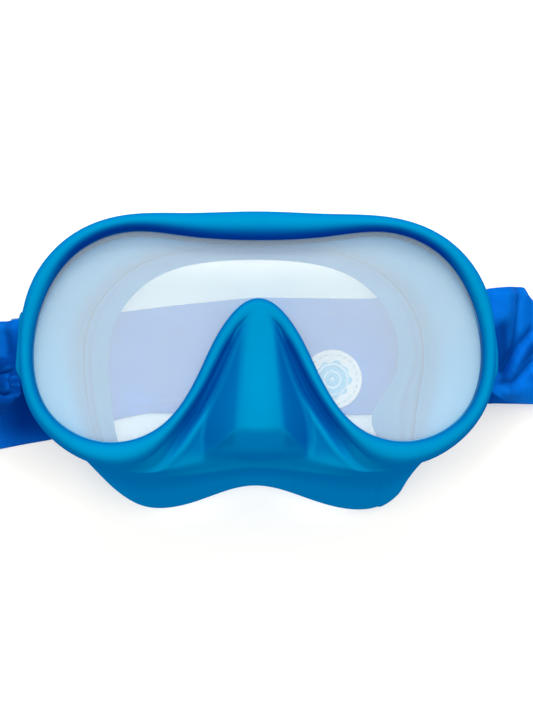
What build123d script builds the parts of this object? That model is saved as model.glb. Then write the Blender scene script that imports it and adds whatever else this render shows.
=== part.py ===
"""A one-window diving mask that lies lens up on its folded fabric strap.

Millimetres. Seen from above the lens, +X is to the right and +Y points to the forehead. +Z comes
up off the table through the lens. The origin is the middle of the underside of the strap.
"""
import math
import os

from build123d import *

# Heights above the table
STRAP_THICK = 1.6         # two layers of stretch fabric, pressed flat
TEMPLE_Z = 2.0            # lowest point of the face seal, at the temples
SEAL_ARCH = 11.0          # how much higher the face seal stands on the centre line
WAIST_Z = 28.0            # where the skirt starts to turn in towards the face
LENS_BACK_Z = 58.0
LENS_THICK = 4.0
RIM_BASE_Z = 54.0
RIM_TOP_Z = 67.0
RIM_ROUND = 1.7
VALLEY_Z = 57.0           # floor of the groove between the rim and the nose pocket
NOSE_TIP_Z = 78.0

# Walls and fits
WALL = 2.2                # silicone wall
SEAL_WALL = 1.8           # the turned-in lip that lies on the face
SEAL_PRISM = 20.0         # taller than the arch of the seal
ARCH_LENGTH = 140.0       # longer than the seal is high
SEAT_DEPTH = 2.0          # how far the lens edge reaches under the rim
OPENING_DEPTH = 8.0       # how far the lens opening is cut down behind the lens
RING_WIDTH = 1.2          # hard ring round the lens edge
RING_LIP = 1.0            # how far the hard ring stands past each face of the lens
LENS_BEVEL = 0.8
FILM_THICK = 0.25
FILM_INSET = 1.5          # from the rim to the edge of the film
RUNNING_GAP = 0.05        # radial clearance of the hinge pin in its sleeve
SIDE_GAP = 0.3            # between the knuckle and the ring's arms

# Right-hand half outlines, from the centre line at the forehead round to the nose
LENS_EDGE = [
    (0, 42.1), (24, 43.4), (44, 44.7), (61.5, 37), (73, 18.5), (75.5, 4), (70.5, -15),
    (60, -23.4), (48, -25.7), (34, -21), (20, -2.3), (10.5, 15.4), (0, 22.6),
]
RIM_OUTER = [
    (0, 51.8), (24, 51), (45, 49.8), (62, 43.6), (75, 29.5), (80, 6), (76.5, -14.5),
    (64, -28.5), (48, -33.8), (38, -31.4), (29, -23), (16.5, -4.6), (7.4, 12.4), (0, 17.8),
]
SHOULDER = [
    (0, 50.4), (24, 49.6), (45, 48.2), (62, 41.5), (74, 27.5), (78.4, 5), (75, -14),
    (63, -28), (47, -35.5), (26, -37.5), (0, -35),
]
WAIST = [
    (0, 47.2), (23, 46.6), (44, 43), (59, 33), (69, 18), (71.5, 2), (68.5, -16),
    (60, -33), (46, -44.6), (24, -43.6), (0, -39.5),
]
SEAL_EDGE = [
    (0, 44.5), (21, 43.8), (39, 40), (54, 30), (63, 16), (65, 0), (62.5, -18),
    (56, -38), (41, -51.3), (21, -49.6), (0, -43.8),
]
FACE_OPENING = [
    (0, 37.9), (17, 37), (33, 33), (46, 23), (52.5, 8), (52.5, -8), (49, -24),
    (42, -39.5), (31, -44.6), (15, -39), (0, -34),
]
# Right half of the nose pocket's plan, in half widths and in lengths from the forehead end
NOSE_PLAN = [(0, 0), (0.42, 0.12), (0.78, 0.45), (1, 0.74), (0.7, 0.96), (0, 1)]
# Nose pocket sections: height, forehead end, lip end, half width
NOSE_SECTIONS = [
    (24, 8, -41, 20.5), (46, 14, -39.5, 21), (VALLEY_Z, 17.5, -37, 19.5), (66, 11.5, -31.5, 14.5),
    (74, -5, -26.5, 9.5), (NOSE_TIP_Z, -14.5, -23.5, 5.5),
]

# Side hinges
PIN_X = 80.0
PIN_Z = 40.0
RING_LOW_Y = -4.5
RING_HIGH_Y = 16.5
ARM_WIDTH = 2.6
ARM_RADIUS = 2.4
BAR_RADIUS = 1.6
BAR_REACH = 12.0          # pin axis to bar axis
RING_LEAN = 22.6          # degrees that the ring hangs outwards from straight down
PIN_RADIUS = 1.2
SLEEVE_RADIUS = 2.0
KNUCKLE_RADIUS = 3.6
PIN_HEAD_RADIUS = 2.2
PIN_HEAD_THICK = 1.0
CLIP_THICK = 0.8
PIN_STICKS_OUT = 0.4      # past the clip
LUG_THICK = 4.6
LUG_ROOT_X = 70.5

# Strap
FOLD_X = 127.0            # where the strap turns back on itself
LAYER_GAP = 0.5
LANDING_X = 104.0         # where the front layer comes down on the back one
FULL_WIDTH_X = 106.0      # where the front layer has spread to its full width
WRAP_RADIUS = 2.8         # fabric round the ring's bar, and half the gathered neck
NECK_WIDTH = 10.0
NECK_MID_Y = 3.5
TAIL_REACH = 20.5         # pin axis to the end of the gathered neck
TAIL_CLEAR = 0.6          # between the neck's end and the rest of the strap
TAPER_MARGIN = 2.0        # the taper's cut starts this far before the front layer
STITCH_ROWS = (16.4, 18.4)
STITCH_RADIUS = 0.35
# How the strap lies, seen from above: its two long edges, from end to end
STRAP_LOW_EDGE = [(-131, -31), (-88, -29.5), (-62, -22), (-40, -18), (40, -19), (75, -16), (131, -14.5)]
STRAP_HIGH_EDGE = [
    (131, 30), (100, 29), (75, 26), (40, 24.5), (0, 25), (-30, 22), (-62, 18), (-88, 15.8), (-131, 15),
]
BADGE_AT = (29.0, -5.5)
BADGE_RADIUS = 11.0
BADGE_THICK = 1.2
BADGE_ROUND = 0.4
INLAY_RADIUS = 7.5
INLAY_THICK = 0.4         # the raised print on the badge
STITCH_CIRCLE = 9.2
STITCH_COUNT = 24
STITCH_LENGTH = 1.3

os.makedirs("parts", exist_ok=True)


def save(part, name):
    """Labels one finished sub-part and writes its STEP file."""
    part.label = name
    export_step(part, f"parts/{name}.step")


def inset(points, distance):
    """The half outline moved inwards by distance, or outwards where it is negative."""
    mirrored_first = (-points[1][0], points[1][1])
    mirrored_last = (-points[-2][0], points[-2][1])
    around = [mirrored_first, *points, mirrored_last]
    moved = []
    for before, here, after in zip(around, around[1:], around[2:]):
        run_x, run_y = after[0] - before[0], after[1] - before[1]
        length = math.hypot(run_x, run_y)
        moved.append((here[0] + distance * run_y / length, here[1] - distance * run_x / length))
    return moved


def closed_outline(points):
    """A face bounded by the half outline and its mirror image across the YZ plane."""
    with BuildSketch() as sketch:
        with BuildLine():
            Spline(*points, tangents=((1, 0), (-1, 0)))
            mirror(about=Plane.YZ)
        make_face()
    return sketch.sketch


def nose_outline(top_y, low_y, half_width):
    """Half outline of the nose pocket: a soft triangle, broad at the nostrils."""
    return [(across * half_width, top_y - along * (top_y - low_y)) for across, along in NOSE_PLAN]


def chamber(distance, low_z, high_z):
    """The air space from seal to lens, with its wall moved inwards by distance."""
    with BuildPart() as body:
        for outline, height in ((SEAL_EDGE, low_z), (WAIST, WAIST_Z), (SHOULDER, high_z)):
            with BuildSketch(Plane.XY.offset(height)):
                add(closed_outline(inset(outline, distance)))
        loft()
    return body.part


def nose_pocket(distance):
    """The nose pocket as a solid, with its wall moved inwards by distance."""
    with BuildPart() as body:
        for height, top_y, low_y, half_width in NOSE_SECTIONS:
            drop = distance if height >= VALLEY_Z else 0
            with BuildSketch(Plane.XY.offset(height - drop)):
                add(closed_outline(nose_outline(top_y - distance, low_y + distance, half_width - distance)))
        loft()
    return body.part


def slab(points, low_z, high_z):
    """A flat plate of the mirrored outline, between two heights."""
    with BuildPart() as plate:
        with BuildSketch(Plane.XY.offset(low_z)):
            add(closed_outline(points))
        extrude(amount=high_z - low_z)
    return plate.part


# The seal edge follows a cylinder along Y: low at the temples, high on the centre line
arch_half = max(x for x, _ in SEAL_EDGE)
arch_radius = (arch_half**2 + SEAL_ARCH**2) / (2 * SEAL_ARCH)
arch_axis_z = TEMPLE_Z + SEAL_ARCH - arch_radius


def arch(radius):
    """A long cylinder along Y, under the seal."""
    with BuildPart() as body:
        with Locations((0, 0, arch_axis_z)):
            Cylinder(radius, ARCH_LENGTH, rotation=(90, 0, 0))
    return body.part


# Lens, film and the hard ring that is moulded into the rim

lens_outline = inset(LENS_EDGE, -SEAT_DEPTH)

with BuildPart() as lens:
    add(slab(lens_outline, LENS_BACK_Z, LENS_BACK_Z + LENS_THICK))
    chamfer(lens.faces().sort_by(Axis.Z)[-1].edges(), LENS_BEVEL)
save(lens.part, "lens")

with BuildPart() as lens_film:
    add(slab(inset(LENS_EDGE, FILM_INSET), LENS_BACK_Z - FILM_THICK, LENS_BACK_Z))
save(lens_film.part, "lens_film")

core_low_z, core_high_z = LENS_BACK_Z - RING_LIP, LENS_BACK_Z + LENS_THICK + RING_LIP
with BuildPart() as core_ring:
    add(slab(inset(LENS_EDGE, -SEAT_DEPTH - RING_WIDTH), core_low_z, core_high_z))
    add(slab(lens_outline, core_low_z, core_high_z), mode=Mode.SUBTRACT)
save(core_ring.part, "core_ring")

# Silicone skirt: rim, air chamber, nose pocket, face seal and side lugs in one moulding

with BuildPart() as rim:
    add(slab(RIM_OUTER, RIM_BASE_Z, RIM_TOP_Z))
    add(slab(LENS_EDGE, RIM_BASE_Z, RIM_TOP_Z), mode=Mode.SUBTRACT)
    fillet(rim.faces().sort_by(Axis.Z)[-1].edges(), RIM_ROUND)

with BuildPart() as seal:
    add(slab(SEAL_EDGE, 0, SEAL_PRISM))
    add(slab(FACE_OPENING, 0, SEAL_PRISM), mode=Mode.SUBTRACT)
    add(arch(arch_radius + SEAL_WALL), mode=Mode.INTERSECT)
    add(arch(arch_radius), mode=Mode.SUBTRACT)

knuckle_length = RING_HIGH_Y - RING_LOW_Y - 2 * (ARM_WIDTH + SIDE_GAP)
hinge_mid_y = (RING_HIGH_Y + RING_LOW_Y) / 2

with BuildPart() as lug:
    with Locations(((LUG_ROOT_X + PIN_X) / 2, hinge_mid_y, PIN_Z)):
        Box(PIN_X - LUG_ROOT_X, knuckle_length, LUG_THICK)
    with Locations((PIN_X, hinge_mid_y, PIN_Z)):
        Cylinder(KNUCKLE_RADIUS, knuckle_length, rotation=(90, 0, 0))
        Cylinder(SLEEVE_RADIUS, knuckle_length, rotation=(90, 0, 0), mode=Mode.SUBTRACT)

with BuildPart() as skirt:
    add(chamber(0, 0, VALLEY_Z))
    add(nose_pocket(0))
    add(rim.part)
    add(chamber(WALL, 0, VALLEY_Z - WALL), mode=Mode.SUBTRACT)
    add(nose_pocket(WALL), mode=Mode.SUBTRACT)
    add(slab(LENS_EDGE, LENS_BACK_Z - OPENING_DEPTH, RIM_TOP_Z), mode=Mode.SUBTRACT)
    add(lens.part, mode=Mode.SUBTRACT)
    add(core_ring.part, mode=Mode.SUBTRACT)
    add(arch(arch_radius), mode=Mode.SUBTRACT)
    add(seal.part)
    add(lug.part)
    add(mirror(lug.part, about=Plane.YZ))
save(skirt.part, "skirt")

# Side hinges, drawn on the +X side and mirrored: sleeve, pin with head, clip and strap ring

lean_x = math.sin(math.radians(RING_LEAN))
lean_z = -math.cos(math.radians(RING_LEAN))


def along_ring(reach):
    """The point that far from the pin's axis, down the middle of the hanging ring."""
    return (PIN_X + reach * lean_x, PIN_Z + reach * lean_z)


def save_pair(part, name):
    """Writes a +X sub-part and its mirror image."""
    save(part, f"{name}_right")
    save(mirror(part, about=Plane.YZ), f"{name}_left")


with BuildPart() as sleeve:
    with Locations((PIN_X, hinge_mid_y, PIN_Z)):
        Cylinder(SLEEVE_RADIUS, knuckle_length, rotation=(90, 0, 0))
        Cylinder(PIN_RADIUS + RUNNING_GAP, knuckle_length, rotation=(90, 0, 0), mode=Mode.SUBTRACT)
save_pair(sleeve.part, "hinge_sleeve")

pin_end_y = RING_LOW_Y - CLIP_THICK - PIN_STICKS_OUT
with BuildPart() as pin:
    with Locations((PIN_X, (RING_HIGH_Y + pin_end_y) / 2, PIN_Z)):
        Cylinder(PIN_RADIUS, RING_HIGH_Y - pin_end_y, rotation=(90, 0, 0))
    with Locations((PIN_X, RING_HIGH_Y + PIN_HEAD_THICK / 2, PIN_Z)):
        Cylinder(PIN_HEAD_RADIUS, PIN_HEAD_THICK, rotation=(90, 0, 0))
    fillet(pin.faces().sort_by(Axis.Y)[-1].edges(), PIN_HEAD_THICK / 2)
save_pair(pin.part, "hinge_pin")

with BuildPart() as clip:
    with Locations((PIN_X, RING_LOW_Y - CLIP_THICK / 2, PIN_Z)):
        Cylinder(PIN_HEAD_RADIUS, CLIP_THICK, rotation=(90, 0, 0))
        Cylinder(PIN_RADIUS, CLIP_THICK, rotation=(90, 0, 0), mode=Mode.SUBTRACT)
save_pair(clip.part, "pin_clip")

with BuildPart() as ring:
    for arm_y in (RING_LOW_Y + ARM_WIDTH, RING_HIGH_Y):
        with BuildSketch(Plane.XZ.offset(-arm_y)):
            with Locations((PIN_X, PIN_Z)):
                Circle(ARM_RADIUS)
            with Locations(along_ring(BAR_REACH)):
                Circle(BAR_RADIUS)
            make_hull()
        extrude(amount=ARM_WIDTH)
    with BuildSketch(Plane.XZ.offset(-RING_HIGH_Y)):
        with Locations(along_ring(BAR_REACH)):
            Circle(BAR_RADIUS)
    extrude(amount=RING_HIGH_Y - RING_LOW_Y)
    with BuildSketch(Plane.XZ.offset(-RING_HIGH_Y)):
        with Locations((PIN_X, PIN_Z)):
            Circle(PIN_RADIUS)
    extrude(amount=RING_HIGH_Y - RING_LOW_Y, mode=Mode.SUBTRACT)
save_pair(ring.part, "strap_ring")

# Sewn ends of the strap: the fabric goes round the ring's bar and is gathered into a neck

neck_mid = along_ring((BAR_REACH + TAIL_REACH) / 2)
with BuildPart() as tail:
    with BuildSketch(Plane.XZ.offset(-NECK_MID_Y - NECK_WIDTH / 2)):
        with Locations(along_ring(BAR_REACH)):
            Circle(WRAP_RADIUS)
        with Locations(neck_mid):
            Rectangle(2 * WRAP_RADIUS, TAIL_REACH - BAR_REACH, rotation=RING_LEAN)
        with Locations(along_ring(BAR_REACH)):
            Circle(BAR_RADIUS, mode=Mode.SUBTRACT)
    extrude(amount=NECK_WIDTH)
save_pair(tail.part, "strap_tail")

with BuildPart() as tail_stitches:
    for reach in STITCH_ROWS:
        row_x, row_z = along_ring(reach)
        off_neck = WRAP_RADIUS + STITCH_RADIUS
        with Locations((row_x - off_neck * lean_z, NECK_MID_Y, row_z + off_neck * lean_x)):
            Cylinder(STITCH_RADIUS, NECK_WIDTH - 2 * STITCH_RADIUS, rotation=(90, 0, 0))
save_pair(tail_stitches.part, "tail_stitches")

# Fabric strap: down from each neck, out to a fold, and back under the mask in one flat layer

strap_start = along_ring(TAIL_REACH + TAIL_CLEAR)
front_low_z = STRAP_THICK + LAYER_GAP     # underside of the front layer
fold_mid_z = (STRAP_THICK + front_low_z) / 2

widest_y = max(abs(y) for _, y in STRAP_LOW_EDGE + STRAP_HIGH_EDGE)

with BuildPart() as strap:
    with BuildSketch(Plane.XZ.offset(-widest_y)):
        with BuildLine():
            upper = Spline(
                strap_start, (LANDING_X, front_low_z), tangents=((lean_x, lean_z), (1, 0))
            )
            run = Line(upper @ 1, (FOLD_X, front_low_z))
            fold = ThreePointArc(run @ 1, (FOLD_X + LAYER_GAP / 2, fold_mid_z), (FOLD_X, STRAP_THICK))
            Line(fold @ 1, (0, STRAP_THICK))
            Line((0, STRAP_THICK), (0, 0))
            Line((0, 0), (FOLD_X, 0))
            outer_fold = ThreePointArc(
                (FOLD_X, 0), (FOLD_X + fold_mid_z, fold_mid_z), (FOLD_X, 2 * fold_mid_z)
            )
            outer_run = Line(outer_fold @ 1, (LANDING_X, 2 * fold_mid_z))
            outer_start = (
                strap_start[0] - STRAP_THICK * lean_z, strap_start[1] + STRAP_THICK * lean_x,
            )
            outer_upper = Spline(
                outer_run @ 1, outer_start, tangents=((-1, 0), (-lean_x, -lean_z))
            )
            Line(outer_upper @ 1, upper @ 0)
        make_face()
    extrude(amount=2 * widest_y)
    with BuildSketch(Plane.XY.offset(STRAP_THICK + LAYER_GAP / 2)):
        for side in (-1, 1):
            taper_x = strap_start[0] - TAPER_MARGIN
            Polygon(
                (taper_x, NECK_MID_Y + side * NECK_WIDTH / 2), (FULL_WIDTH_X, side * widest_y),
                (taper_x, side * widest_y), align=None,
            )
    extrude(amount=PIN_Z, mode=Mode.SUBTRACT)
    mirror(about=Plane.YZ)
    with BuildSketch():
        Polygon(*STRAP_LOW_EDGE, *STRAP_HIGH_EDGE, align=None)
    extrude(amount=PIN_Z, mode=Mode.INTERSECT)
save(strap.part, "strap")

# Round silicone badge on the strap, seen through the lens

with BuildPart() as badge:
    with BuildSketch(Plane.XY.offset(STRAP_THICK)):
        with Locations(BADGE_AT):
            Circle(BADGE_RADIUS)
    extrude(amount=BADGE_THICK)
    fillet(badge.faces().sort_by(Axis.Z)[-1].edges(), BADGE_ROUND)
save(badge.part, "badge")

with BuildPart() as badge_inlay:
    with BuildSketch(Plane.XY.offset(STRAP_THICK + BADGE_THICK)):
        with Locations(BADGE_AT):
            Circle(INLAY_RADIUS)
    extrude(amount=INLAY_THICK)
save(badge_inlay.part, "badge_inlay")

with BuildPart() as badge_stitches:
    with BuildSketch(Plane.XY.offset(STRAP_THICK + BADGE_THICK)):
        with Locations(BADGE_AT):
            with PolarLocations(STITCH_CIRCLE, STITCH_COUNT):
                Rectangle(STITCH_RADIUS, STITCH_LENGTH)
    extrude(amount=STITCH_RADIUS)
save(badge_stitches.part, "badge_stitches")
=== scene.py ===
"""Looks of a one-window diving mask that lies lens up on its folded fabric strap.

Metres, in the row frame: +X to the right seen from above the lens, +Y towards the forehead, +Z up
through the lens. Shapes are worked out in millimetres and scaled once, in smooth_mesh.
"""
import math

import bmesh
import bpy
import numpy as np
from mathutils import Matrix, Vector


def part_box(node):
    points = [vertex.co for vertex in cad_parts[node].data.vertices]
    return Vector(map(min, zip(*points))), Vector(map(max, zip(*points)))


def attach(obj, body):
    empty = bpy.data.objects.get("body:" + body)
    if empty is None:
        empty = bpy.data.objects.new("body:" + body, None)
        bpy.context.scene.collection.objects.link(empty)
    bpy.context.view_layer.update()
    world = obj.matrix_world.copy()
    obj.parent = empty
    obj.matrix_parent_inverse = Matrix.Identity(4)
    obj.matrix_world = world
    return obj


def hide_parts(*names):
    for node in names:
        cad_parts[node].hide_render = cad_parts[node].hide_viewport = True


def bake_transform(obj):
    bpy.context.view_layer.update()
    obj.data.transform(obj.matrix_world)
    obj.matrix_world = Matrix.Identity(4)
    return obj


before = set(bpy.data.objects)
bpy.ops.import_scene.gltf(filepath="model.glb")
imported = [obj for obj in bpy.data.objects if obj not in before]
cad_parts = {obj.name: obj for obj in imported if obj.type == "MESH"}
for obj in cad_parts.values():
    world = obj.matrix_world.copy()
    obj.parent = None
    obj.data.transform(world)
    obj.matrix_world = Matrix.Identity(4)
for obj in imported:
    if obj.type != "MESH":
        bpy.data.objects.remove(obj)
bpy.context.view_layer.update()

MM = 0.001
SIDES = {"left": -1, "right": 1}

# -------- outlines, in millimetres

LENS_BACK, LENS_FRONT = (1000 * c[2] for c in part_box("lens"))
BEAD_CREST = 67.0
SHOULDER_Z = 54.5
RIM_FOOT_Z, RIM_SIDE_Z = 58.4, 62.0
PANE_GROOVE, RING_GROOVE = 2, 3.2
WALL = 2.2
SEAL_THICK = 1.6
TIP_Y, TIP_Z = -20.8, 78.0
CROWN = 0.045              # how round the nose pocket's top is

# Thirteen stations from the forehead's middle round to the nose; `at` places a curve's points on them
LENS_EDGE = [
    (0, 42.1), (24, 43.4), (44, 44.7), (61.5, 37), (73, 18.5), (75.5, 4), (70.5, -15),
    (60, -23.4), (48, -25.7), (34, -21), (20, -2.3), (10.5, 15.4), (0, 22.6),
]
RIM_OUTER = [
    (0, 51.8), (24, 51), (45, 49.8), (62, 43.6), (75, 29.5), (80, 6), (76.5, -14.5),
    (64, -28.5), (48, -33.8), (38, -31.4), (29, -23), (16.5, -4.6), (7.4, 12.4), (0, 17.8),
]
RIM_AT = [0, 1, 2, 3, 4, 5, 6, 7, 8.1, 9.75, 11, 12, 13]
SHOULDER = [
    (0, 50.4), (24, 49.6), (45, 48.2), (62, 41.5), (74, 27.5), (78.4, 5), (75, -14),
    (63, -28), (47, -35.5), (26, -37.5), (0, -35),
]
WAIST = [
    (0, 47.2), (23, 46.6), (44, 43), (59, 33), (69, 18), (71.5, 2), (68.5, -16),
    (60, -32.5), (46, -44.6), (24, -43.6), (0, -39.5),
]
SEAL_RIGHT = [
    (0, 44.5), (21, 43.8), (39, 40), (54, 30), (63, 16), (65, 0), (62.5, -18),
    (57.2, -40.6), (48.5, -50.6), (23, -50), (0, -43.8),
]
SEAL_LEFT = SEAL_RIGHT[:7] + [(54.8, -38.5), (42, -50.8), (23, -50.1), (0, -43.8)]
OPENING = [
    (0, 37.9), (17, 37), (33, 33), (46, 23), (52.5, 8), (52.5, -8), (50.5, -24),
    (45.5, -36.5), (34, -43.4), (15, -39.5), (0, -34),
]
WALL_AT = [0, 1, 2, 3, 4, 5, 6, 7, 8, 8.5, 9, 9.5, 10]
STATIONS = 12
COLUMNS = 500
DENSE_FROM, DENSE_FULL = 6.6, 7.6
NOTCH_FROM, NOTCH_FULL = 8, 9.2
# Where the lip folds inwards at the +X temple
LEAF_AT, LEAF_SPREAD, LEAF_REACH = 5.75, 0.75, 9.0
ARCH_HALF, ARCH_RISE, ARCH_TOP, ARCH_EASE = 65, 11, 13, 3.0


def hermite(a, b, slope_a, slope_b, s):
    """A cubic from a to b, with their slopes in units of the whole step, at s from 0 to 1."""
    return (a * (1 + 2 * s) * (1 - s) ** 2 + slope_a * s * (1 - s) ** 2
            + b * s**2 * (3 - 2 * s) - slope_b * s**2 * (1 - s))


def cubic(knots, points, first, last):
    """A C2 cubic spline through points at knots, with given end slopes, as a function."""
    k, p = np.asarray(knots, float), np.asarray(points, float)
    h = np.diff(k)
    n = len(k)
    a, rhs = np.zeros((n, n)), np.zeros((n, p.shape[1]))
    a[0, 0] = a[-1, -1] = 1
    rhs[0], rhs[-1] = first, last
    for i in range(1, n - 1):
        a[i, i - 1], a[i, i], a[i, i + 1] = 1 / h[i - 1], 2 / h[i - 1] + 2 / h[i], 1 / h[i]
        rhs[i] = 3 * ((p[i] - p[i - 1]) / h[i - 1] ** 2 + (p[i + 1] - p[i]) / h[i] ** 2)
    m = np.linalg.solve(a, rhs)

    def at(t):
        t = np.clip(np.asarray(t, float), k[0], k[-1])
        i = np.clip(np.searchsorted(k, t, side="right") - 1, 0, n - 2)
        w = h[i][:, None]
        s = ((t - k[i]) / h[i])[:, None]
        return hermite(p[i], p[i + 1], m[i] * w, m[i + 1] * w, s)
    return at


def monotone(values):
    """A smooth rising curve through values at 0, 1, 2 and so on, as a function."""
    v = np.asarray(values, float)
    d = np.diff(v)
    slope = np.r_[d[0], 2 * d[1:] * d[:-1] / (d[1:] + d[:-1]), d[-1]]

    def at(t):
        t = np.clip(t, 0, len(v) - 1)
        i = np.minimum(t.astype(int), len(v) - 2)
        return hermite(v[i], v[i + 1], slope[i], slope[i + 1], t - i)
    return at


def smooth(x, low=0.0, high=1.0):
    """0 below low, 1 above high, and an easy curve between."""
    t = np.clip((np.asarray(x, float) - low) / (high - low), 0, 1)
    return t * t * (3 - 2 * t)


def lerp(a, b, t):
    return a + (b - a) * t


def relax(v, passes):
    """Rounds off a row of values in place; its two ends stay."""
    for _ in range(passes):
        v[1:-1] = (v[:-2] + 2 * v[1:-1] + v[2:]) / 4
    return v


def from_line(x, y, line):
    """Distance in plan from a line of points."""
    line = np.asarray(line, float)
    best = np.full(x.shape, 1e9)
    for a, b in zip(line[:-1], line[1:]):
        run = b - a
        t = np.clip(((x - a[0]) * run[0] + (y - a[1]) * run[1]) / max(run @ run, 1e-9), 0, 1)
        best = np.minimum(best, np.hypot(x - a[0] - t * run[0], y - a[1] - t * run[1]))
    return best


def soft_min(a, b, k):
    """The lower of a and b, with a rounding of size k where they cross."""
    h = np.clip(0.5 + 0.5 * (b - a) / k, 0, 1)
    return b * (1 - h) + a * h - k * h * (1 - h)


def soft_max(a, b, k):
    return -soft_min(-a, -b, k)


# Columns round the skirt, in stations: 0 to 12 on the +X side, 12 to 24 back up the -X side, and closer
# together round the nose
fine = np.linspace(0, 2 * STATIONS, 4001)
from_brow = np.minimum(fine, 2 * STATIONS - fine)
weight = 0.75 + 0.85 * smooth(from_brow, DENSE_FROM, DENSE_FULL)
spread = np.r_[0, np.cumsum((weight[1:] + weight[:-1]) / 2)]
station = np.interp(np.arange(COLUMNS) * spread[-1] / COLUMNS, spread, fine)
to_right = station <= STATIONS
half_station = np.where(to_right, station, 2 * STATIONS - station)
side = np.where(to_right, 1.0, -1.0)


def half_curve(points, at=None):
    """Half an outline as a function of the station."""
    p = np.array(points, float)
    knots = np.r_[0, np.cumsum(np.hypot(*np.diff(p, axis=0).T))]
    shape = cubic(knots, p, (1, 0), (-1, 0))
    own = np.interp(at if at else np.arange(len(p)), np.arange(len(p)), knots)
    along = monotone(own)
    return lambda s: shape(along(np.asarray(s, float)))


def around(points, at=None, left=None):
    """The whole outline, one point a column."""
    right = half_curve(points, at)(half_station)
    other = right if left is None else half_curve(left, at)(half_station)
    out = np.where(to_right[:, None], right, other)
    out[:, 0] *= side
    return out


def normals(curve):
    """Unit normals of a closed clockwise curve, pointing out of it."""
    run = np.roll(curve, -1, axis=0) - np.roll(curve, 1, axis=0)
    n = np.stack([-run[:, 1], run[:, 0]], axis=1)
    return n / np.linalg.norm(n, axis=1)[:, None]


def arch_z(x):
    """Height of the face seal: eased on to the floor at the temples, and high in the middle."""
    radius = (ARCH_HALF**2 + ARCH_RISE**2) / (2 * ARCH_RISE)
    arch = ARCH_TOP - radius + np.sqrt(radius**2 - x**2)
    return (arch + np.sqrt(arch**2 + ARCH_EASE)) / 2


lens_edge = around(LENS_EDGE)
lens_out = normals(lens_edge)
rim = around(RIM_OUTER, RIM_AT)
shoulder = around(SHOULDER, WALL_AT)
waist = around(WAIST, WALL_AT)
seal = around(SEAL_RIGHT, WALL_AT, SEAL_LEFT)
opening = around(OPENING, WALL_AT)

leaf = np.where(to_right, np.exp(-((half_station - LEAF_AT) / LEAF_SPREAD) ** 2), 0.0)
opening = opening - normals(opening) * (LEAF_REACH * leaf)[:, None]

# -------- nose pocket

PROFILE_Y = np.array([-50, -34, -28, -22, -16, -7, 0, 6, 12, 18, 30], float)
RIDGE_Z = [78, 78, 78, 78, 77, 74.2, 71.6, 69.7, 68.2, 67.3, 67]
STRIP_HALF = [7.8, 7.8, 7.8, 7.7, 7.2, 6.5, 6, 5.5, 4.9, 3.6, 3]
BASE_HALF = [17.4, 17.6, 18.4, 18.3, 17.2, 13.7, 10.6, 8.5, 6.6, 4.9, 4.2]
WING_Z = [58, 58, 59.6, 60.8, 61.8, 63, 63.8, 64.4, 65.4, 66.7, 67]
VALLEY_Z = [57, 57, 56.8, 56.8, 57, 57.6, 58.8, 60.4, 63.3, 66.5, 67]
WING_OUT = [5, 5, 5, 4.6, 4.4, 4.3, 3.7, 2.9, 1.9, 1.1, 1]
# The pocket drifts a little to +X towards the brow, and is a little wider on the -X side
DRIFT_Y, DRIFT_X = (-21, 18), (-0.1, 0.4)
WIDER = 0.05
# How fast the face under the tip curls back in
TIP_CURL = 0.062


def along_nose(values, y):
    """A value that changes along the nose, eased between its stations."""
    v = np.array(values, float)
    slope = np.gradient(v, PROFILE_Y)
    i = np.clip(np.searchsorted(PROFILE_Y, y) - 1, 0, len(v) - 2)
    w = PROFILE_Y[i + 1] - PROFILE_Y[i]
    s = np.clip((y - PROFILE_Y[i]) / w, 0, 1)
    return hermite(v[i], v[i + 1], slope[i] * w, slope[i + 1] * w, s)


def pocket(x, y, wall=0.0):
    """Height of the nose pocket's own faces, or of its inside for a wall above 0."""
    x = x - np.interp(y, DRIFT_Y, DRIFT_X)
    wider = 1 - WIDER * np.sign(x)
    x = np.abs(x)
    strip, top = along_nose(STRIP_HALF, y), along_nose(RIDGE_Z, y)
    base = along_nose(BASE_HALF, y) * wider
    crown = CROWN * np.minimum(x, strip) ** 2
    ridge = top - CROWN * x**2
    slope = (top - along_nose(WING_Z, y)) / np.maximum(base - strip, 1.3)
    flank = top - 0.5 * crown - slope * (x - strip)
    past = np.maximum(TIP_Y - y, 0)
    under = TIP_Z - crown - past - TIP_CURL * past**2 + 3.0 * np.maximum(y - TIP_Y, 0)
    under_slope = 1 + 2 * TIP_CURL * past
    ridge, flank = ridge - wall, flank - wall * np.sqrt(1 + slope**2)
    under = under - wall * np.sqrt(1 + under_slope**2)
    return soft_min(soft_min(ridge, flank, 2.4), under, 0.7)


# The rim's foot on the nose side, from one cheek to the other
notch = rim[half_station > DENSE_FULL]
notch = notch[np.argsort(notch[:, 0])]


def nose_surface(x, y):
    """Outer height of the skirt inside the rim's notch: valley, wing and nose pocket."""
    away = from_line(x, y, notch)
    wing, low = along_nose(WING_Z, y), along_nose(VALLEY_Z, y)
    low = low + (wing - low) * smooth(np.abs(x), 27, 37)
    far = along_nose(WING_OUT, y)
    # the valley falls away from the rim to its deepest line, then climbs a steep bank to the wing's crest
    low = low + 2.6 * np.clip(1 - away / (0.8 * far), 0, 1) * smooth(far, 1.2, 2.5)
    rise = smooth(away, 0.45 * far, 1.1 * far)
    crest = 0.6 * np.exp(-((away - 1.2 * far) / 1.4) ** 2) * smooth(far, 1.5, 3.0)
    shelf = low + (wing - low) * rise + crest
    return soft_max(shelf, pocket(x, y), 1.8)


# -------- the skirt

# Rows round the skirt's section, in order, then the slice of rows that each stretch takes
COUNTS = {"groove": 8, "bead": 19, "foot": 3, "nose": 63, "wall": 22, "lip": 21, "inner": 21}
INNER_TOP = SHOULDER_Z - 2.4
ROOF_Z = 53.6
ROOF_ROWS = 34
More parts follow.
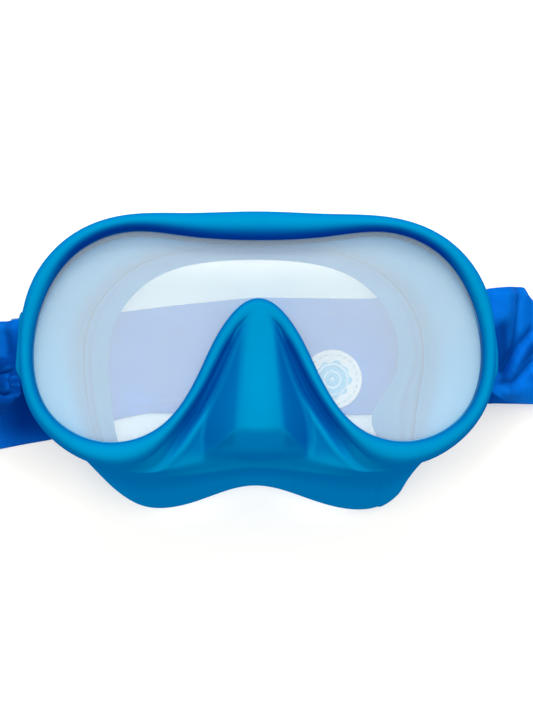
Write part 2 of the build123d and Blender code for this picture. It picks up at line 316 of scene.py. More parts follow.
# Section of the lip: share of the way from the seal's edge in to the opening, height above the arch
LIP_SECTION = [
    (0.02, 0.5), (0.07, 0), (0.2, 0), (0.35, 0.1), (0.5, 0.3), (0.65, 0.7), (0.8, 1.2), (0.92, 1.9),
    (0.98, 2.4), (1, 2.9), (0.985, 3.3), (0.93, 3.3), (0.8, 3), (0.7, 2.8), (0.6, 2.9), (0.54, 3.6),
    (0.5, 4.1), (0.46, 3.7), (0.41, 2.7), (0.34, 2.3), (0.3, 2.3),
]
LEAF_CURL = 3.2
FLAP_LIFT = 0.55

starts = np.cumsum(list(COUNTS.values())).tolist()
BEAD, FOOT, NOSE, FRONT, LIP, INNER = (slice(a, b) for a, b in zip(starts[:-1], starts[1:]))
OUTER_WALL = slice(NOSE.start, FRONT.stop)


def row(plan, z):
    """One row of the skirt: a point a column."""
    return np.column_stack([plan, np.broadcast_to(z, len(plan))])


def wall_plan(top, middle, foot, t):
    """Plan of the wall between its top and its foot, as a parabola that passes the middle at half way."""
    return top * (1 - t) * (1 - 2 * t) + middle * 4 * t * (1 - t) + foot * t * (2 * t - 1)


def skirt_rows():
    """Rows round the section, from behind the lens over the rim and down to the seal and back up."""
    back, front = LENS_BACK, LENS_FRONT
    groove = [(0, back), (PANE_GROOVE, back), (PANE_GROOVE, back - 1), (RING_GROOVE, back - 1),
              (RING_GROOVE, front + 1), (PANE_GROOVE, front + 1), (PANE_GROOVE, front), (0, front)]
    rows = [row(lens_edge + off * lens_out, z) for off, z in groove]

    in_notch = smooth(half_station, NOTCH_FROM, NOTCH_FULL)
    start = lerp(RIM_FOOT_Z, nose_surface(rim[:, 0], rim[:, 1]), in_notch)
    nose_side = np.maximum(start + 1.2 * (1 - smooth(start, 61, 64)), RIM_SIDE_Z)
    side_z = lerp(RIM_SIDE_Z, nose_side, in_notch)
    for turn in np.linspace(0, math.pi, COUNTS["bead"]):
        c, s = math.cos(turn), math.sin(turn)
        across = 0.5 - 0.5 * math.copysign(abs(c) ** 0.92, c)
        inner = turn < math.pi / 2
        foot = np.where(inner, LENS_FRONT + 1.0, side_z)
        # the roll is straighter on its brow-side inner face and its cheek-side outer face
        straight = 0.9 + 0.7 * np.maximum(lens_out[:, 1] * (1 if inner else -0.6), 0)
        rows.append(row(lerp(lens_edge, rim, across), foot + (BEAD_CREST - foot) * s**straight))
    for t in (0.3, 0.6, 0.85):
        rows.append(row(rim, lerp(side_z, start, t)))

    for t in np.linspace(0, 1, COUNTS["nose"]):
        plan = lerp(rim, shoulder, t)
        outside = RIM_FOOT_Z - (RIM_FOOT_Z - SHOULDER_Z) * smooth(t)
        nose = nose_surface(plan[:, 0], plan[:, 1])
        nose = lerp(nose, SHOULDER_Z, smooth(t, 0.86, 1.0) ** 1.5)
        rows.append(row(plan, lerp(outside, nose, in_notch)))

    seal_z = arch_z(seal[:, 0])
    flap = (side > 0) * smooth(half_station, 7.2, 7.6) * (half_station < 8.28)
    for t in np.linspace(0, 1, COUNTS["wall"] + 1)[1:]:
        plan = wall_plan(shoulder, waist, seal, t)
        plan = plan + normals(plan) * (FLAP_LIFT * flap * smooth(t, 0, 0.15))[:, None]
        rows.append(row(plan, lerp(SHOULDER_Z, seal_z + SEAL_THICK, t)))
    for t, lift in LIP_SECTION:
        plan = lerp(seal, opening, t)
        rows.append(row(plan, arch_z(plan[:, 0]) + lift + LEAF_CURL * leaf * smooth(t, 0.3, 1.0)))

    inner_seal, inner_waist, inner_shoulder = (c - WALL * normals(c) for c in (seal, waist, shoulder))
    for t in np.linspace(1, 0, COUNTS["inner"]):
        plan = wall_plan(inner_shoulder, inner_waist, inner_seal, t)
        rows.append(row(plan, lerp(INNER_TOP, seal_z + 3.4, t)))
    roof_edge = lens_edge + 0.7 * lens_out
    for t in np.linspace(1, 0, ROOF_ROWS + 1)[1:]:
        plan = lerp(roof_edge, inner_shoulder, t)
        deep = lerp(INNER_TOP, ROOF_Z, smooth(t, 1.0, 0.0))
        inside = soft_max(np.full(len(plan), ROOF_Z + 0.2), pocket(plan[:, 0], plan[:, 1], WALL), 1.0)
        rows.append(row(plan, lerp(deep, inside, in_notch * smooth(t, 1.0, 0.86))))
    for off, z in [(0.15, 54.4), (0, 55.2), (0, 56.6)]:
        rows.append(row(lens_edge + off * lens_out, z))
    return np.array(rows)


def place(name, data):
    """A new object in the scene."""
    ob = bpy.data.objects.new(name, data)
    bpy.context.scene.collection.objects.link(ob)
    return ob


def smooth_mesh(name, points, faces):
    """A smooth-shaded mesh from points in millimetres."""
    mesh = bpy.data.meshes.new(name)
    mesh.from_pydata((np.asarray(points) * MM).tolist(), [], faces)
    mesh.polygons.foreach_set("use_smooth", [True] * len(mesh.polygons))
    mesh.update()
    return mesh


def grid_mesh(name, rows, closed=(True, True)):
    """A quad mesh from rows of points in millimetres, with a UV map in units of the grid's own length."""
    count, width = rows.shape[:2]
    up, across = count if closed[0] else count - 1, width if closed[1] else width - 1
    i, j = np.meshgrid(np.arange(up), np.arange(across), indexing="ij")
    i2, j2 = (i + 1) % count, (j + 1) % width
    quads = np.stack([i * width + j, i * width + j2, i2 * width + j2, i2 * width + j], axis=-1)
    mesh = smooth_mesh(name, rows.reshape(-1, 3), quads.reshape(-1, 4).tolist())

    def run(axis):
        """Length along the grid at each of its lines, with one step more for the seam."""
        step = np.linalg.norm(np.diff(rows, axis=axis), axis=2).mean(axis=1 - axis) * MM
        return np.cumsum(np.r_[0, step, step[-1]])

    uv = mesh.uv_layers.new(name="Length")
    ij = np.stack([np.stack([j, j + 1, j + 1, j], -1), np.stack([i, i, i + 1, i + 1], -1)], -1)
    flat = ij.reshape(-1, 2)
    uv.data.foreach_set("uv", np.column_stack([run(1)[flat[:, 0]], run(0)[flat[:, 1]]]).ravel())
    return place(name, mesh)


def add_painted_shade(ob, painted_shade):
    """Stores the painted shade (below 0) and painted light (above 0) at each of the piece's points."""
    ob.data.attributes.new("PaintedShade", "FLOAT", "POINT").data.foreach_set("value", np.ravel(painted_shade))


rows = skirt_rows()
# the brow of the real moulding stands a little higher on the -X side
x, y, z = np.moveaxis(rows[BEAD.start:], 2, 0)
y += 0.75 * np.exp(-((x + 50) / 26) ** 2) * smooth(y, 12, 34) * smooth(z, 54.6, 57)
# ease the kinks left where faces meet, without touching the groove
moves = np.where(np.arange(len(rows)) < BEAD.start + 4, 0, 0.5)
for _ in range(2):
    average = sum(np.roll(rows, step, axis) for axis in (0, 1) for step in (1, -1)) / 4
    rows = rows + (average - rows) * moves[:, None, None]
skirt = grid_mesh("skirt_moulding", rows)


def painted_shading():
    """The painted light and shade of the silicone at each point of the skirt."""
    painted_shade = np.zeros(rows.shape[:2])
    # painted shade on the inner half of the bead along the brow, the side turned away from the light
    across = 0.5 - 0.5 * np.cos(math.pi * np.linspace(0, 1, COUNTS["bead"]))
    brow = smooth(lens_out[:, 1], 0.3, 0.85)
    painted_shade[BEAD] = -0.95 * brow[None] * (1 - smooth(across, 0.05, 0.62))[:, None]
    # painted shade on the nose's flanks, valley and flare, painted light under the tip and a painted
    # highlight on the wing's crest
    x, y = rows[NOSE, :, 0], rows[NOSE, :, 1]
    inside = smooth(half_station, 8.4, 9.4)[None]
    strip, base, far = (along_nose(v, y) for v in (STRIP_HALF, BASE_HALF, WING_OUT))
    away = from_line(x, y, notch)
    out = np.abs(x)
    past = TIP_Y - y
    before = 1 - smooth(past, 4, 9)
    flank = smooth(out, strip - 0.5, strip + 1.6) * (1 - smooth(out, base - 0.6, base + 1.0)) * before
    under = smooth(past, 0, 0.8) * (1 - smooth(past, 6.5, 9.5))
    under = under * (1 - smooth(out, strip + 0.4 * past, strip + 2 + 1.1 * past))
    beyond = smooth(out, base, base + 1.5) * (1 - smooth(out, 24, 32)) * (1 - smooth(past, 6, 12))
    fade = (1 - smooth(out, 23, 34)) * (1 - smooth(y, 6, 14))
    valley = (1 - smooth(away, 0.55 * far, 0.9 * far)) * fade
    crest = np.exp(-(((away - far) / (0.2 * far)) ** 2)) * fade
    flare = smooth(away, 1.2 * far, 1.5 * far) * beyond
    nose_shade = (0.36 + 0.02 * np.sign(x)) * flank + 0.66 * valley + 0.4 * flare
    painted_shade[NOSE] = inside * (0.3 * under + 0.25 * crest - nose_shade)
    # painted light: the front of the wall, below the nose, is a little paler towards its foot
    ramp = smooth(np.arange(COUNTS["wall"]), 0, 12)[:, None]
    painted_shade[FRONT] = 0.3 * ramp * smooth(-rows[FRONT, :, 1], 28, 40)
    # painted light and shade: through the lens the lip is paler on the brow side, and painted shade deepens
    # the inside of the wall towards it
    painted_shade[LIP] = 0.25 + 0.55 * smooth(seal[:, 1], -5, 30)[None]
    painted_shade[INNER] = -(1 - smooth(np.arange(COUNTS["inner"]), 0, 11))[:, None]
    # painted shade at the rim's foot beside the nose
    by_nose = (1 - smooth(np.abs(rim[:, 0]), 23, 34)) * (1 - smooth(rim[:, 1], 6, 14))
    painted_shade[FOOT] = -0.7 * inside * by_nose
    return painted_shade


add_painted_shade(skirt, painted_shading())

# -------- lugs, grey lens band and badge pattern

PIN_X, PIN_Z = 80, 40
LUG_LOW_Y, LUG_HIGH_Y = (1000 * c[1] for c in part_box("hinge_sleeve_right"))
BORE, KNUCKLE = 2, 3.6
ROOT_X, ROOT_HALF = 5.4, 3.2
# Rounding of a lug's ends: distance from the end, growth
LUG_END = [(0, -1), (0, -0.6), (0.15, -0.28), (0.5, -0.06), (1, 0)]


def teardrop(count):
    """The lug's outline in X and Z: round about the pin, running in to the skirt's wall."""
    turn = np.linspace(0, 2 * math.pi, count, endpoint=False)
    d = np.stack([np.cos(turn), np.sin(turn)], axis=1)
    reach = np.full(count, KNUCKLE)
    inwards = d[:, 0] < 0
    wide = np.minimum(ROOT_X / np.maximum(-d[:, 0], 1e-6), ROOT_HALF / np.maximum(np.abs(d[:, 1]), 1e-6))
    reach[inwards] = np.maximum(reach[inwards], wide[inwards])
    for _ in range(3):
        reach = (reach * 2 + np.roll(reach, 1) + np.roll(reach, -1)) / 4
    return d, reach


def lug(which):
    """A silicone lug with rounded ends and a bore for the hinge sleeve."""
    sign = SIDES[which]
    d, reach = teardrop(72)
    sections = [(LUG_LOW_Y + off, reach + grow) for off, grow in LUG_END]
    sections += [(y, reach) for y in np.linspace(LUG_LOW_Y + 2, LUG_HIGH_Y - 2, 12)]
    sections += [(LUG_HIGH_Y - off, reach + grow) for off, grow in reversed(LUG_END)]
    sections += [(y, np.full(len(d), BORE)) for y in np.linspace(LUG_HIGH_Y, LUG_LOW_Y, 6)]
    rows = [np.column_stack([sign * (PIN_X + d[:, 0] * r), np.full(len(r), y), PIN_Z + d[:, 1] * r])
            for y, r in sections]
    return grid_mesh(f"lug_{which}", np.array(rows)[:, ::sign])


# Plan of each lug's cheek, which stands out from under the rim: y, distance out from the middle
CHEEK = {
    "left": [(-7.6, 78), (-5.6, 80), (-3.6, 81.4), (-2.2, 82.3), (-0.8, 82.7), (1, 82.6), (6, 82.2),
             (12, 81.7), (16, 81.6), (18, 81.1), (19.2, 79.6), (20, 77)],
    "right": [(-12, 77), (-10.8, 79.4), (-9.6, 81), (-7, 81.6), (-4.6, 81.9), (-3.6, 82.7),
              (-1.4, 83.1), (4, 83.1), (10, 82.4), (16, 80.9), (21, 79), (25, 76.5)],
}
CHEEK_LOW_Z, CHEEK_TOP_Z, CHEEK_EDGE_Z, CHEEK_ROUND = 47.1, 56.4, 48.2, 1.1
# How far a cheek's roots run into the skirt's wall
CHEEK_SUNK = 0.7


def wall_x(sign, y, z):
    """Distance out from the middle of the skirt's outer wall at a height, for each y."""
    wall = rows[OUTER_WALL][:, sign * rim[:, 0] > 62]
    near = wall[np.argmin(np.abs(wall[:, :, 2].mean(axis=1) - z))]
    near = near[np.argsort(near[:, 1])]
    return np.interp(y, near[:, 1], np.abs(near[:, 0]))


def cheek(which):
    """The flat cheek that joins a lug to the skirt, drawn as sections along y."""
    sign = SIDES[which]
    table = np.array(CHEEK[which])
    ys = np.linspace(table[0, 0], table[-1, 0], 90)
    reach = relax(np.interp(ys, table[:, 0], table[:, 1]), 3)
    high_root, low_root = (wall_x(sign, ys, z) - CHEEK_SUNK for z in (CHEEK_TOP_Z, CHEEK_LOW_Z))
    turn = np.linspace(-math.pi / 2, math.pi / 2, 9)
    rows = []
    for y, far, high_x, low_x in zip(ys, reach, high_root, low_root):
        px = np.concatenate([far - CHEEK_ROUND + CHEEK_ROUND * np.cos(turn),
                             np.linspace(far - 1.5, high_x, 8), np.linspace(low_x, far - 1.6, 8)])
        pz = np.concatenate([CHEEK_EDGE_Z + CHEEK_ROUND * np.sin(turn),
                             np.linspace(49.9, CHEEK_TOP_Z, 8), np.full(8, CHEEK_LOW_Z)])
        rows.append(np.column_stack([sign * px, np.full(len(px), y), pz]))
    rows = np.array(rows)
    ends = [rows[k].mean(0) + (rows[k] - rows[k].mean(0)) * 0.02 for k in (0, -1)]
    rows = np.concatenate([ends[0][None], rows, ends[1][None]])
    return grid_mesh(f"lug_cheek_{which}", rows[:, ::-sign], closed=(False, True))


lugs = [lug("right"), lug("left"), cheek("right"), cheek("left")]

# A thin grey see-through band lies along the lens's edge, wide on the forehead side and all but gone
# elsewhere. Its section: share of its width in from the lens's edge, height above the pane
BAND_SECTION = [(-0.6, -0.02), (-0.6, 0.06), (0.05, 0.07), (0.9, 0.05), (1, 0.02), (1, -0.02)]
band_wide = 0.03 + 1.7 * (1 - smooth(half_station, 2.4, 4.8))
lens_band = grid_mesh("lens_grey_band", np.array([
    row(lens_edge - (across * band_wide)[:, None] * lens_out, LENS_FRONT + lift)
    for across, lift in BAND_SECTION]))

FILM_LOW, FILM_HIGH = (1000 * c[2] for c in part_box("lens_film"))
FILM_INSET, FILM_GAP = 0.06, 0.04


def pane(name, low, high):
    """A thin sheet of the lens's outline, drawn in rings so that it shades evenly."""
    centre = np.array([0.0, 12.0])
    plan = lens_edge - FILM_INSET * lens_out
    rings = [(part, low) for part in (0.02, 0.5, 1)]
    rings += [(part, high) for part in (1, 0.9, 0.7, 0.5, 0.3, 0.1, 0.02)]
    return grid_mesh(name, np.array([row(centre + (plan - centre) * part, z) for part, z in rings])[::-1])


film = pane("lens_haze", FILM_LOW, FILM_HIGH - FILM_GAP)

BADGE_X, BADGE_Y = 29, -5.5
badge_top = 1000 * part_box("badge")[1][2]
RIPPLE_APART, RIPPLE_HIGH = 1.75, 0.16


def ripple_disc(name, radius):
    """A raised disc with a wavy edge and rings like ripples on water."""
    turn = np.linspace(0, 2 * math.pi, 180, endpoint=False)
    edge = radius * (1 + 0.07 * np.cos(9 * turn + 0.6) + 0.03 * np.cos(5 * turn))
    rings = [(0.02, -0.01), (1.0, -0.01)]
    for part in np.linspace(1.0, 0.02, 46):
        ripple = RIPPLE_HIGH * math.cos(2 * math.pi * part * radius / RIPPLE_APART)
        rings.append((part, (0.2 + ripple) * smooth(1 - part, 0.0, 0.03)))
    return grid_mesh(name, np.array([
        np.column_stack([BADGE_X + edge * part * np.cos(turn), BADGE_Y + edge * part * np.sin(turn),
                         np.full(len(turn), badge_top + z)]) for part, z in rings]))


ripples = ripple_disc("badge_ripples", 6.7)

# -------- strap: flat run, gathered covers and necks

LOW_EDGE = [(-131, -33), (-95, -31.4), (-84, -29.2), (-73, -27.4), (-62, -23), (-40, -18), (40, -19),
            (75, -16.5), (87, -14.7), (102, -15), (131, -16)]
HIGH_EDGE = [(-131, 15), (-88, 15.8), (-62, 18), (-30, 22), (0, 25), (40, 24.5), (75, 26), (94, 26.6),
             (99, 25.4), (103, 22.8), (108, 22.5), (116, 25.5), (131, 28.5)]
FABRIC = 1.5
# Turns at which a fabric edge's round has points, from one face to the other
EDGE_TURNS = [0.35, 0.8, 1.25, math.pi / 2, math.pi - 1.25, math.pi - 0.8, math.pi - 0.35]
RUN_LOW_Z, RUN_HIGH_Z = 0.82, 2.95
FOLD_X, FRONT_X = 127, 108


def wrinkle(x, y, seed=0.0):
    """Small soft unevenness of fabric, from -1 to 1."""
    broad = np.sin(x * 0.31 + 1.7 * np.sin(y * 0.13 + seed))
    broad = broad * np.cos(y * 0.27 + 1.3 * np.sin(x * 0.11 - seed))
    small = np.sin(x * 0.83 + y * 0.52 + seed * 2) * np.cos(y * 0.71 - x * 0.17)
    return (broad + 0.5 * small) / 1.5


def close_ends(rows, facing):
    """Adds a row at each end, halfway from each point to the one that faces it through the fabric."""
    ends = [((rows[k] + rows[k][facing]) / 2)[None] for k in (0, -1)]
    return np.concatenate([ends[0], rows, ends[1]])


def cloth(name, mid, painted_shade):
    """A closed sheet round a grid of middle points (along, across), with rounded long edges."""
    n = np.cross(np.gradient(mid, axis=0), np.gradient(mid, axis=1))
    n /= np.linalg.norm(n, axis=2)[:, :, None]
    n *= np.sign(n[..., 2].mean())
    half = FABRIC / 2

    def rounded(edge, beside, face):
        """The points round one long edge, from the face above it (1) or below it (-1) to the other."""
        out = mid[:, edge] - mid[:, beside]
        out /= np.linalg.norm(out, axis=1)[:, None]
        return [(mid[:, edge] + half * (face * math.cos(turn) * n[:, edge] + math.sin(turn) * out))[:, None]
                for turn in EDGE_TURNS]

    parts = [mid + n * half, *rounded(-1, -2, 1), (mid - n * half)[:, ::-1], *rounded(0, 1, -1)]
    rows = np.concatenate(parts, axis=1)
    size = rows.shape[1]
    facing = (2 * mid.shape[1] + len(EDGE_TURNS) - 1 - np.arange(size)) % size
    ob = grid_mesh(name, close_ends(rows, facing), closed=(False, True))
    high, low = (np.repeat(edge, len(EDGE_TURNS), axis=1) for edge in (painted_shade[:, -1:], painted_shade[:, :1]))
    painted_shading = np.concatenate([painted_shade, high, painted_shade[:, ::-1], low], axis=1)
    add_painted_shade(ob, np.concatenate([painted_shading[:1], painted_shading, painted_shading[-1:]]))
    weld(ob)
    return ob


def weld(ob):
    """Joins points that share a place."""
    bm = bmesh.new()
    bm.from_mesh(ob.data)
    bmesh.ops.remove_doubles(bm, verts=bm.verts, dist=1e-7)
    bm.to_mesh(ob.data)
    bm.free()


def flat_run():
    """The strap's flat back layer with the fold at each end and the start of each front layer."""
    middle, reach = (RUN_HIGH_Z + RUN_LOW_Z) / 2, (RUN_HIGH_Z - RUN_LOW_Z) / 2
    half_turn = np.linspace(0, math.pi, 9)[1:-1]
    fold = [(FOLD_X + reach * math.sin(t), middle - reach * math.cos(t), 1) for t in half_turn]
    front = [(x, RUN_HIGH_Z, 1) for x in np.linspace(FOLD_X, FRONT_X, 14)]
    back = [(x, RUN_LOW_Z, 0) for x in np.linspace(-FOLD_X, FOLD_X, 230)]
    mirrored = [(-x, z, front) for x, z, front in reversed(fold + front)]
    x, z, front = (np.array(v, float) for v in zip(*mirrored, *back, *fold, *front))
    low_y = relax(np.interp(x, *zip(*LOW_EDGE)) + 0.9, 8)
    high_y = relax(np.interp(x, *zip(*HIGH_EDGE)) - 0.9, 8)
    y = lerp(low_y[:, None], high_y[:, None], np.linspace(0, 1, 60)[None])
    x, z, back = (np.broadcast_to(v[:, None], y.shape) for v in (x, z, 1 - front))
    # one soft ridge lies along the back layer on the -X side
    ridge = np.exp(-((y + 13.6 - 0.8 * np.sin(x * 0.35)) / 0.9) ** 2)
    ridge = ridge * smooth(x, -52, -44) * smooth(-x, 16, 24)
    return np.stack([x, y, z + (0.06 * wrinkle(x, y) + 0.75 * ridge) * back], axis=2)


def run_painted_shade(run):
    """Painted shade: the back layer is darkest where the mask's ends shade it, and a little darker all
    along the rest.
    """
    out, y = np.abs(run[..., 0]), run[..., 1]
    near = smooth(out, 66, 76) * (1 - smooth(out, 84, 104))
    shaded = np.where(run[..., 0] < 0, 0.38 + 0.54 * smooth(y, -34, -21), 0.72)
    return -near * shaded - 0.14 * (1 - near)


run = flat_run()
strap = cloth("strap_run", run, run_painted_shade(run))

# Plan of each cover: distance out from the middle and height of its middle line, then its two edges
COVER_Z = [(81, 45.2), (83, 45.1), (85, 43.8), (88, 39.2), (91, 33), (94, 26.6), (97, 20.3), (100, 14.5),
           (104, 9), (108, 6), (112, 4.6)]
COVER_LOW = {
    "left": [(81, -9.2), (82, -9.8), (86, -13.6), (90.5, -16.5), (95, -19), (103, -23), (112, -27.8)],
    "right": [(81, -8.6), (83, -10.1), (87, -11.9), (93, -12.9), (101.6, -13.6), (112, -14.2)],
}
COVER_HIGH = {
    "left": [(81, 15.5), (84, 15.1), (87, 14.7), (90, 14.8), (112, 14.4)],
    "right": [(81, 25.2), (84, 26), (88, 26.7), (93, 27.2), (98.4, 27.4), (101.4, 23.4), (104, 21.6),
              (108, 22.4), (112, 24.2)],
}
# How far out and how far up the painted shade in the hollow beside the rim fades away, and how dark it is
HOLLOW_OUT = {"left": (83.5, 87.5), "right": (84.5, 90)}
HOLLOW_TO = {"left": (9, 16), "right": (11, 17)}
HOLLOW_SHADE = {"left": 0.3, "right": 0.4}
# How dark the painted shade is where the cloth is knotted, below the middle
KNOT_SHADE = {"left": 0.34, "right": 0.0}
# Fold crests with painted shade, darker than the cloth above and below them
SHADED_CRESTS = {
    "left": [(83, 2), (87.6, 1.1), (90.4, 0.3), (93.9, -0.4)],
    "right": [(86.6, -3.4), (88.3, -2.6), (92.3, 0.1), (96.3, 3.3), (99.9, 6.5)],
}
# Folds, as lines of points in plan: half width, height above the base (below it if negative), points
FOLDS = {
    "left": [
        (0.75, -2.8, [(83, -1.6), (85, -2), (88, -2.5), (90.6, -3.2), (94.9, -4.3)]),
        (1.7, 1.3, [(84.7, 1.8), (87.6, 1.1), (90.4, 0.3), (93.9, -0.4)]),
        (2.2, -1.6, [(83.6, 1), (84.4, 6), (85.6, 10.5)]),
        (0.55, -2.2, [(82.2, -2.6), (84.6, -3.4), (85.6, -5.2), (84.7, -7.2), (82.4, -7.7)]),
        (0.8, 0.7, [(82.5, -5.2), (83.9, -5.2)]),
        (1.9, 0.9, [(87.2, -5.7), (89.7, -6), (93.2, -6.7), (97, -8.2)]),
        (1.1, -3, [(82.4, -8.4), (85.2, -9.6), (87.7, -10.2), (90.2, -9.4), (93.7, -9.4), (98, -11)]),
        (2.2, 1.2, [(83.5, -10.6), (87.1, -12.6), (90.6, -13.9), (94.9, -15.4), (99, -17.5)]),
        (1.2, -1.2, [(92, 13), (93.5, 8), (95.5, 3)]),
    ],
    "right": [
        (2, -2.4, [(94.5, 27), (93.3, 21.3), (92.9, 16), (92.8, 10.6), (91.7, 6), (89.6, 1.8),
                     (87.1, -1.4)]),
        (1.2, -0.8, [(93.6, 22), (93, 16), (92.8, 10.6), (91.7, 6), (89.6, 1.8), (87.1, -1.4)]),
        (3.2, -2.4, [(85.5, 12), (85.8, 8), (85.8, 3), (85.6, -0.5)]),
        (3.4, 1.4, [(89.4, 24.5), (89.2, 18.5)]),
        (1.9, 1.2, [(86.6, -3.4), (88.3, -2.6), (92.3, 0.1), (96.3, 3.3), (99.9, 6.5)]),
        (1.9, -2.6, [(86, -1), (88.4, -0.2), (91.4, 3.2), (95, 7), (99.9, 11.5)]),
        (1.7, -2.2, [(84, -6.4), (87.1, -6.4), (89.6, -6.9), (93.1, -5.2), (97, -2), (100.6, 0.5)]),
        (2.8, 1.6, [(85, -9.6), (88.6, -9.5), (92.9, -9.2), (100.1, -7.5)]),
        (0.9, -2.2, [(82, -1.4), (86.6, -1.5)]),
    ],
}


def eased(out, table, passes=6):
    """A table's value at each distance out, with its corners rounded."""
    return relax(np.interp(out, *zip(*table)), passes)


def cover_painted_shade(which, x, y, lift):
    """Painted shade in the folds, the hollow and the knot and by the rim, and a painted highlight on one
    open stretch a side.
    """
    hollow = (1 - smooth(x, *HOLLOW_OUT[which])) * smooth(y, -4, 2) * (1 - smooth(y, *HOLLOW_TO[which]))
    knot = (1 - smooth(y, -3, 0)) * (1 - smooth(x, 92, 102))
    if which == "right":
        lower = (1 - smooth(y, 6, 12)) * smooth(y, -8, -4)
        painted_light_part = smooth(x, 92, 97) * (1 - smooth(y, -8, -4))
    else:
        lower = 1 - smooth(y, 6, 12)
        painted_light_part = smooth(x, 86, 90) * smooth(y, 6, 11)
    folds = 0.17 * np.minimum(lift, 0) - 0.36 * np.maximum(lift, 0) * lower
    rim_shade = 0.3 * (1 - smooth(x, 86, 96))
    crest = 0.3 * np.exp(-(from_line(x, y, SHADED_CRESTS[which]) / 2.6) ** 2)
    deep = folds - HOLLOW_SHADE[which] * hollow - KNOT_SHADE[which] * knot - rim_shade - crest
    return np.clip(deep, -0.85, 0) + 0.12 * painted_light_part


def cover(which):
    """The front layer where it comes over the ring, gathers in folds and spreads down to the flat run."""
    sign = SIDES[which]
    out = np.concatenate([np.linspace(81.2, 100, 76), np.linspace(100, 112, 30)[1:]])
    low_y, high_y = eased(out, COVER_LOW[which]), eased(out, COVER_HIGH[which])
    z = eased(out, COVER_Z, 20)
    across = np.linspace(0, 1, 120)
    y = lerp(low_y[:, None], high_y[:, None], across[None])
    x = np.broadcast_to(out[:, None], y.shape)
    lift = 0.3 * wrinkle(x, y, 3.0)
    for half, height, line in FOLDS[which]:
        lift += height * np.exp(-(from_line(x, y, line) / half) ** 2 / 1.4)
    lift = soft_max(lift, np.full_like(lift, -4.0), 1.6)
    painted_shade = cover_painted_shade(which, x, y, lift)
    # both long edges roll down, and the folds die out towards the flat run and under the rim
    edge = np.minimum(across, 1 - across)[None] * (high_y - low_y)[:, None]
    lift -= 2.2 * (1 - smooth(edge, 0, 3.2)) ** 2 * (1 - smooth(x, 98, 108))
    lift *= (1 - smooth(x, 101, 110)) * lerp(0.12, 1.0, smooth(x, 82.5, 87.5))
    # on the +X side the upper end reaches further in, under the rim
    inwards = 3.2 * (sign > 0) * smooth(y, 13, 25) * (1 - smooth(x, 81, 88))
    mid = np.stack([sign * (x + 0.3 * lift - inwards), y, z[:, None] + lift], axis=2)
    return cloth(f"strap_cover_{which}", mid[::sign], painted_shade[::sign])


covers = {which: cover(which) for which in SIDES}

# The ring hangs from its pin at this lean; distances along it are from the pin
LEAN = math.radians(22.6)
LEAN_X, LEAN_Z = math.sin(LEAN), -math.cos(LEAN)
BAR_REACH, NECK_END, SEAM_AT = 12, 20.5, 17.4
NECK_MID = 3.5
WRAP = 2.75


def neck(which):
    """The sewn end: fabric round the ring's bar, gathered in pleats, drawn as rings along y."""
    sign = SIDES[which]
    turn = np.linspace(-math.pi / 2, math.pi / 2, 19)
    tail = [(NECK_END, 0.9), (NECK_END - 1, 2.0), (NECK_END - 3, 2.5), (NECK_END - 5.5, 2.6)]
    path = [(along, -off) for along, off in tail]
    path += [(BAR_REACH - WRAP * math.cos(t), WRAP * math.sin(t)) for t in turn]
    path = np.array(path + tail[::-1])
    along, off = path[:, 0], path[:, 1]
    wide = 4.7 + 2.4 * smooth(along, BAR_REACH + 2.5, NECK_END)
    rows = []
    for part in np.linspace(-1, 1, 57):
        pleat = 0.32 * math.cos(6.5 * math.pi * part + 0.4) + 0.12 * math.cos(17 * part)
        shrink = 1 - 0.55 * smooth(abs(part), 0.9, 1.0)
        stitched = 1 - 0.25 * np.exp(-((along - SEAM_AT) / 0.9) ** 2)
        o = off * (shrink * stitched) + np.sign(off) * pleat * smooth(along, 9.5, 12)
        px = PIN_X + along * LEAN_X - o * LEAN_Z
        pz = PIN_Z + along * LEAN_Z + o * LEAN_X
        rows.append(np.column_stack([sign * px, NECK_MID + part * wide, pz]))
    rows = close_ends(np.array(rows), np.arange(len(path))[::-1])
    ob = grid_mesh(f"strap_neck_{which}", rows[:, ::-sign], closed=(False, True))
    weld(ob)
    return ob


necks = {which: neck(which) for which in SIDES}

THREAD_RADIUS, STITCH, STITCH_STEP = 0.22, 1.7, 2.5


def stitches(name, starts):
    """Sewn stitches: a short rounded length of thread along y from each start, with its ends sunk."""
    rings, sides = 7, 8
    faces, verts = [], []
    for start in starts:
        base = len(verts)
        for t in np.linspace(0, 1, rings):
            r = THREAD_RADIUS * math.sin(math.pi * (0.08 + 0.84 * t)) ** 0.5
            centre = np.array(start) + (0, STITCH * t, -1.2 * THREAD_RADIUS * (2 * t - 1) ** 4)
            for turn in np.linspace(0, 2 * math.pi, sides, endpoint=False):
                verts.append(centre + (r * math.cos(turn), 0, -r * math.sin(turn)))
        for i in range(base, base + (rings - 1) * sides, sides):
            for k in range(sides):
                k2 = (k + 1) % sides
                faces.append((i + k, i + k2, i + sides + k2, i + sides + k))
        faces.append(tuple(reversed(range(base, base + sides))))
        faces.append(tuple(range(base + (rings - 1) * sides, base + rings * sides)))
    return place(name, smooth_mesh(name, verts, faces))


joins = {}
for which, sign in SIDES.items():
    low, high = COVER_LOW[which][-1][1] + 1.2, COVER_HIGH[which][-1][1] - 1.2
    joins[which] = stitches(f"join_stitches_{which}", [
        (sign * x, y, 5.45) for x in (109.4, 111.0) for y in np.arange(low, high - 1.6, STITCH_STEP)])

# -------- camera, light and floor

